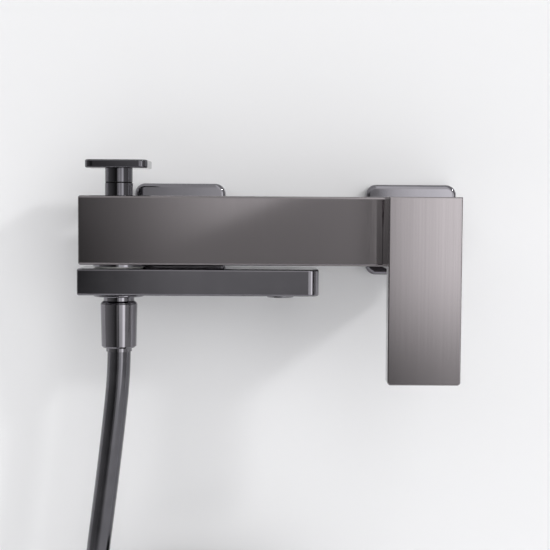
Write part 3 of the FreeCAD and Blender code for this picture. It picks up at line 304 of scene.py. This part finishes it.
CLEAR_SHARE = 0.94                 # of brushed plating that reflects clearly
CLEAR_ROUGHNESS = (0.05, 0.08)
DRAWN_ROUGHNESS = (0.34, 0.42)
DRAWN_OUT = 0.75
STREAK_CONTRAST = (0.25, 0.75)
MOULDING_IOR = 1.5
WEBBING_ROUGHNESS = (0.75, 0.95)
RIB_SCALE = 220.0
RIB_WOBBLE = 1.5
RIB_DETAIL = 2.0


def brushed(name, dark, light):
    """Satin plating: a clear mirror with fine vertical streaks, and a little light drawn sideways."""
    f = Finish(name)
    broad = f.noise(BROAD_STREAKS, 4.0, 0.7)
    fine = f.noise(FINE_STREAKS, 3.0, 0.6)
    colour = f.colours(broad, dark, light, *STREAK_CONTRAST)
    around = f.nodes.new("ShaderNodeTangent")
    around.direction_type = "RADIAL"
    around.axis = "Z"
    f.constant(Metallic=1.0, Anisotropic=DRAWN_OUT)
    f.feed("Tangent", around.outputs["Tangent"])
    f.feed("Base Color", colour)
    f.feed("Roughness", f.spread(fine, *DRAWN_ROUGHNESS))
    clear = f.nodes.new("ShaderNodeBsdfPrincipled")
    clear.inputs["Metallic"].default_value = 1.0
    f.links.new(colour, clear.inputs["Base Color"])
    f.links.new(f.spread(fine, *CLEAR_ROUGHNESS), clear.inputs["Roughness"])
    f.links.new(f.bump(fine, STREAK_DEPTH), clear.inputs["Normal"])
    mix = f.nodes.new("ShaderNodeMixShader")
    mix.inputs["Fac"].default_value = CLEAR_SHARE
    f.links.new(f.shader.outputs["BSDF"], mix.inputs[1])
    f.links.new(clear.outputs["BSDF"], mix.inputs[2])
    f.links.new(mix.outputs["Shader"], f.output.inputs["Surface"])
    return f.material


def polished(name, dark, light, low, high, peel=0.000002):
    """Smooth plating with a faint unevenness, its roughness between low and high."""
    f = Finish(name)
    f.constant(Metallic=1.0)
    soft = f.noise(PLATING_CLOUDS, 4.0)
    grain = f.noise(PLATING_GRAIN)
    f.feed("Base Color", f.colours(soft, dark, light))
    f.feed("Roughness", f.spread(soft, low, high))
    f.feed("Normal", f.bump(grain, peel))
    return f.material


def moulded(name, dark, light, low=0.35, high=0.5, grain_size=2500, depth=0.00001):
    """Plastic, rubber or ceramic with a fine grain, its roughness between low and high."""
    f = Finish(name)
    f.constant(IOR=MOULDING_IOR)
    soft = f.noise(MOULDING_CLOUDS, 3.0)
    grain = f.noise((grain_size,) * 3)
    f.feed("Base Color", f.colours(soft, dark, light))
    f.feed("Roughness", f.spread(grain, low, high))
    f.feed("Normal", f.bump(grain, depth))
    return f.material


def woven(name, dark, light):
    """Nylon webbing: fine ribs with a fuzz over them."""
    f = Finish(name)
    ribs = f.nodes.new("ShaderNodeTexWave")
    ribs.bands_direction = "X"
    ribs.inputs["Scale"].default_value = RIB_SCALE
    ribs.inputs["Distortion"].default_value = RIB_WOBBLE
    ribs.inputs["Detail"].default_value = RIB_DETAIL
    f.links.new(f.place, ribs.inputs["Vector"])
    fuzz = f.noise(WEBBING_FUZZ, 3.0, 0.6)
    f.feed("Base Color", f.colours(fuzz, dark, light))
    f.feed("Roughness", f.spread(fuzz, *WEBBING_ROUGHNESS))
    f.feed("Normal", f.bump(fuzz, FUZZ_DEPTH, f.bump(ribs.outputs["Fac"], RIB_DEPTH)))
    return f.material


FINISHES = {
    "webbing": woven("black_webbing", (0.012, 0.012, 0.013), (0.032, 0.032, 0.034)),
    "gunmetal": polished(
        "plated_gunmetal", (0.178, 0.172, 0.188), (0.200, 0.193, 0.210), 0.05, 0.09,
    ),
    "gunmetal_brushed": brushed(
        "brushed_gunmetal", (0.194, 0.179, 0.185), (0.222, 0.205, 0.212),
    ),
    # a darker copy of the plated gunmetal: painted shade, not a finish of its own
    "gunmetal_painted_shade": polished(
        "plated_gunmetal_painted_shade", (0.083, 0.081, 0.090), (0.10, 0.097, 0.107), 0.05, 0.09,
    ),
    "chromed_brass": polished(
        "chromed_brass", (0.50, 0.50, 0.51), (0.58, 0.58, 0.58), 0.06, 0.12,
    ),
    "raw_brass": polished("raw_brass", (0.62, 0.45, 0.20), (0.72, 0.54, 0.27), 0.25, 0.40),
    "steel": polished("stainless_steel", (0.50, 0.49, 0.48), (0.60, 0.59, 0.58), 0.20, 0.32),
    "hose_metal": polished(
        "hose_sheath", (0.108, 0.106, 0.116), (0.128, 0.125, 0.136), 0.12, 0.17,
    ),
    "black_rubber": moulded(
        "black_rubber", (0.018, 0.018, 0.018), (0.03, 0.03, 0.03), 0.5, 0.7,
    ),
    "black_plastic": moulded("black_plastic", (0.03, 0.03, 0.03), (0.05, 0.05, 0.05)),
    "grey_plastic": moulded("grey_plastic", (0.30, 0.31, 0.33), (0.36, 0.37, 0.39)),
    "white_plastic": moulded("white_plastic", (0.74, 0.74, 0.72), (0.80, 0.80, 0.78)),
    "ceramic": moulded(
        "lapped_ceramic", (0.80, 0.79, 0.76), (0.86, 0.85, 0.82), 0.12, 0.2, 600, 0.000002,
    ),
}
# nodes given the darker gunmetal copy as painted shade: the cartridge's cover and rotor for the shade
# in the crevice beside the handle, the diverter's knob and bonnet because they look darker than the
# rest
PAINTED_SHADE_NODES = ("diverter_knob", "diverter_bonnet", "cartridge_cover", "temperature_rotor")


def dress_nodes():
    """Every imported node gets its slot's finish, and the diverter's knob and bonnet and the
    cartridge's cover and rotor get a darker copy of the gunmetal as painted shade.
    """
    for name, node in NODES.items():
        for slot in node.material_slots:
            finish = slot.material.name
            # painted shade: these nodes get the darker copy of the gunmetal
            if name in PAINTED_SHADE_NODES and finish == "gunmetal":
                finish = "gunmetal_painted_shade"
            slot.material = FINISHES[finish]


# ---------------------------------------------------------------- wiper under the knob, its black also painted shade in the joint

WIPER_RADIUS = 0.00842
WIPER_BORE = 0.0046                # radius of its hole
WIPER_HEIGHT = 0.00028
WIPER_SIDES = 64


def make_wiper_and_shade(material):
    """The thin rubber wiper between the diverter's bonnet and its knob, where the two meet at rest; its
    black also stands as painted shade in the joint.
    """
    low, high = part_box("diverter_bonnet")
    centre_x, centre_y = (low[0] + high[0]) / 2, (low[1] + high[1]) / 2
    bottom, top = high[2], high[2] + WIPER_HEIGHT
    edge = WIPER_HEIGHT / 3
    profile = (
        (WIPER_BORE, bottom), (WIPER_RADIUS - edge, bottom), (WIPER_RADIUS, bottom + edge),
        (WIPER_RADIUS, top - edge), (WIPER_RADIUS - edge, top), (WIPER_BORE, top),
    )
    mesh = bmesh.new()
    rings = []
    for side in range(WIPER_SIDES):
        angle = 2 * math.pi * side / WIPER_SIDES
        rings.append([
            mesh.verts.new((centre_x + r * math.cos(angle), centre_y + r * math.sin(angle), z))
            for r, z in profile
        ])
    join_rows(mesh, rings + rings[:1], smooth=True)
    # the black ring is partly a guessed rubber seal and partly painted shade in the gap between bonnet
    # and knob
    wiper = add_object("knob_wiper_and_shade", mesh, material)
    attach(wiper, "mixer")


# ---------------------------------------------------------------- wall and floor

WALL_GAP = 0.0003
ROOM_HALF_WIDTH = 3.0
ROOM_HEIGHT = 2.4
ROOM_DEPTH = 3.2
FLOOR_LEVEL = -0.80
COVE_RADIUS = 0.25
COVE_STEPS = 12
WALL_TONE = (0.93, 0.93, 0.94)
WALL_ROUGHNESS = 0.75
WALL_SPECULAR = 0.2


def backdrop_material():
    """Pale paint on the room's side, and see-through from behind."""
    f = Finish("pale_paint")
    f.constant(
        Base_Color=(*WALL_TONE, 1.0), Roughness=WALL_ROUGHNESS, Specular_IOR_Level=WALL_SPECULAR,
    )
    f.feed("Normal", f.bump(f.noise(PAINT_GRAIN, 3.0), PAINT_DEPTH))
    clear = f.nodes.new("ShaderNodeBsdfTransparent")
    side = f.nodes.new("ShaderNodeNewGeometry").outputs["Backfacing"]
    mix = f.nodes.new("ShaderNodeMixShader")
    f.links.new(side, mix.inputs["Fac"])
    f.links.new(f.shader.outputs["BSDF"], mix.inputs[1])
    f.links.new(clear.outputs["BSDF"], mix.inputs[2])
    f.links.new(mix.outputs["Shader"], f.output.inputs["Surface"])
    return f.material


def make_backdrop():
    """The wall that carries the mixer runs down into a pale floor through a cove."""
    profile = [(WALL_GAP, ROOM_HEIGHT)]
    for step in range(COVE_STEPS + 1):
        angle = math.pi / 2 * step / COVE_STEPS
        profile.append((
            WALL_GAP - COVE_RADIUS * (1 - math.cos(angle)),
            FLOOR_LEVEL + COVE_RADIUS * (1 - math.sin(angle)),
        ))
    profile.append((-ROOM_DEPTH, FLOOR_LEVEL))
    mesh = bmesh.new()
    rows = [
        [mesh.verts.new((side * ROOM_HALF_WIDTH, y, z)) for side in (-1, 1)]
        for y, z in profile
    ]
    for upper, lower in zip(rows, rows[1:]):
        mesh.faces.new((upper[0], lower[0], lower[1], upper[1])).smooth = True
    add_object("backdrop", mesh, backdrop_material())


# ---------------------------------------------------------------- light

KEY_PLACE = (3.36, -2.56, 2.34)
KEY_TARGET = (0.0, -0.05, 0.0)
KEY_SIZE = 0.42
KEY_POWER = 46.0

# The studio's level by bearing in degrees, 0 straight out from the wall and right positive.
# It is set for what the flat metal fronts mirror to this camera.
ROOM_BELOW = (
    (-90, 0.5), (-12, 0.05), (-3, 0.4), (4, 0.1), (10, 1.1), (28, 1.5),
    (31, 3.0), (43, 3.0), (47, 0.6), (90, 0.5),
)
ROOM_UNDER = (
    (-90, 0.4), (-20, 0.05), (-9, 0.0), (-4, 0.5), (2, 0.5), (4.5, 0.6), (5, 0.0), (5.5, 0.0),
    (5.6, 1.5), (9, 2.9), (10, 1.5), (28, 1.5), (31, 3.0), (43, 3.0), (47, 0.6), (90, 0.4),
)
ROOM_LEFT = ((-90, 0.4), (-20, 0.05), (-9, 0.1), (-6, 0.45), (-2, 1.3), (0.5, 1.5))
ROOM_RIGHT = (
    (-5, 0.45), (3, 0.6), (4.5, 0.7), (5, 0.0), (5.5, 0.0), (5.6, 1.7), (9, 3.1), (10, 1.6),
    (28, 1.5), (31, 3.0), (43, 3.0), (47, 0.6), (90, 0.4),
)
ROOM_ABOVE = ((-90, 0.6), (-30, 0.9), (2, 0.9), (6, 1.7), (20, 1.7), (28, 0.9), (90, 0.3))
ROOM_PEAK = 3.5                    # the world's strength, over which the levels are shares
BELOW_TO_UNDER = (-8.6, -2.2)      # heights in degrees over which one level passes into the next
UNDER_TO_LEFT_RIGHT = (-3.0, 0.5)
LEFT_RIGHT_TO_ABOVE = (3.0, 20.0)
EDGE_SLANT = 2.2                   # the slanted edge's degrees of bearing for each degree of height
EDGE_START = 0.3
EDGE_LEAST = -5.0
EDGE_SOFTNESS = 0.4
MIX_A, MIX_B, MIX_RESULT = 6, 7, 2    # the colour sockets of a Mix node


def make_world():
    """The studio round the mixer: dark to the left, brighter above and to the right."""
    world = bpy.data.worlds.new("studio")
    world.use_nodes = True
    tree = world.node_tree

    def math_node(operation, *values):
        node = tree.nodes.new("ShaderNodeMath")
        node.operation = operation
        for socket, value in zip(node.inputs, values):
            if isinstance(value, (int, float)):
                socket.default_value = value
            else:
                tree.links.new(value, socket)
        return node.outputs["Value"]

    def between(value, low, high):
        """0 below low, 1 above high, and smooth between."""
        node = tree.nodes.new("ShaderNodeMapRange")
        node.interpolation_type = "SMOOTHSTEP"
        node.inputs["From Min"].default_value = low
        node.inputs["From Max"].default_value = high
        tree.links.new(value, node.inputs["Value"])
        return node.outputs["Result"]

    def ramp(stops):
        """The level at this bearing."""
        node = tree.nodes.new("ShaderNodeValToRGB")
        bar = node.color_ramp
        while len(bar.elements) < len(stops):
            bar.elements.new(1.0)
        for element, (degrees, level) in zip(bar.elements, stops):
            element.position = (degrees + 90) / 180
            element.color = (*[level / ROOM_PEAK] * 3, 1.0)
        tree.links.new(along, node.inputs["Fac"])
        return node.outputs["Color"]

    def mixed(share, first, second):
        node = tree.nodes.new("ShaderNodeMix")
        node.data_type = "RGBA"
        tree.links.new(share, node.inputs["Factor"])
        tree.links.new(first, node.inputs[MIX_A])
        tree.links.new(second, node.inputs[MIX_B])
        return node.outputs[MIX_RESULT]

    def in_degrees(value):
        return math_node("MULTIPLY", value, 180 / math.pi)

    ray = tree.nodes.new("ShaderNodeSeparateXYZ")
    tree.links.new(tree.nodes.new("ShaderNodeTexCoord").outputs["Generated"], ray.inputs["Vector"])
    outward = math_node("MULTIPLY", ray.outputs["Y"], -1.0)
    bearing = in_degrees(math_node("ARCTAN2", ray.outputs["X"], outward))
    height = in_degrees(math_node("ARCSINE", ray.outputs["Z"]))
    along = math_node("DIVIDE", math_node("ADD", bearing, 90.0), 180.0)
    slant = math_node("MULTIPLY_ADD", height, EDGE_SLANT, EDGE_START)
    edge = math_node("MAXIMUM", slant, EDGE_LEAST)
    right = between(math_node("SUBTRACT", bearing, edge), -EDGE_SOFTNESS, EDGE_SOFTNESS)
    level = mixed(right, ramp(ROOM_LEFT), ramp(ROOM_RIGHT))
    level = mixed(between(height, *UNDER_TO_LEFT_RIGHT), ramp(ROOM_UNDER), level)
    level = mixed(between(height, *BELOW_TO_UNDER), ramp(ROOM_BELOW), level)
    level = mixed(between(height, *LEFT_RIGHT_TO_ABOVE), level, ramp(ROOM_ABOVE))
    background = tree.nodes["Background"]
    tree.links.new(level, background.inputs["Color"])
    background.inputs["Strength"].default_value = ROOM_PEAK
    bpy.context.scene.world = world


def make_key():
    """The lamp at the upper right that gives the shadows."""
    data = bpy.data.lights.new("key", "AREA")
    data.shape = "RECTANGLE"
    data.size = KEY_SIZE
    data.size_y = KEY_SIZE
    data.energy = KEY_POWER
    key = bpy.data.objects.new("key", data)
    key.location = KEY_PLACE
    towards = Vector(KEY_TARGET) - Vector(KEY_PLACE)
    key.rotation_euler = towards.to_track_quat("-Z", "Y").to_euler()
    key.visible_camera = False
    bpy.context.scene.collection.objects.link(key)


# ---------------------------------------------------------------- everything

make_camera()
make_hose(FINISHES["hose_metal"], make_strap(FINISHES["webbing"]))
dress_nodes()
make_wiper_and_shade(FINISHES["black_rubber"])
make_backdrop()
make_world()
make_key()
bpy.context.scene.view_settings.view_transform = "Standard"

bpy.context.view_layer.update()
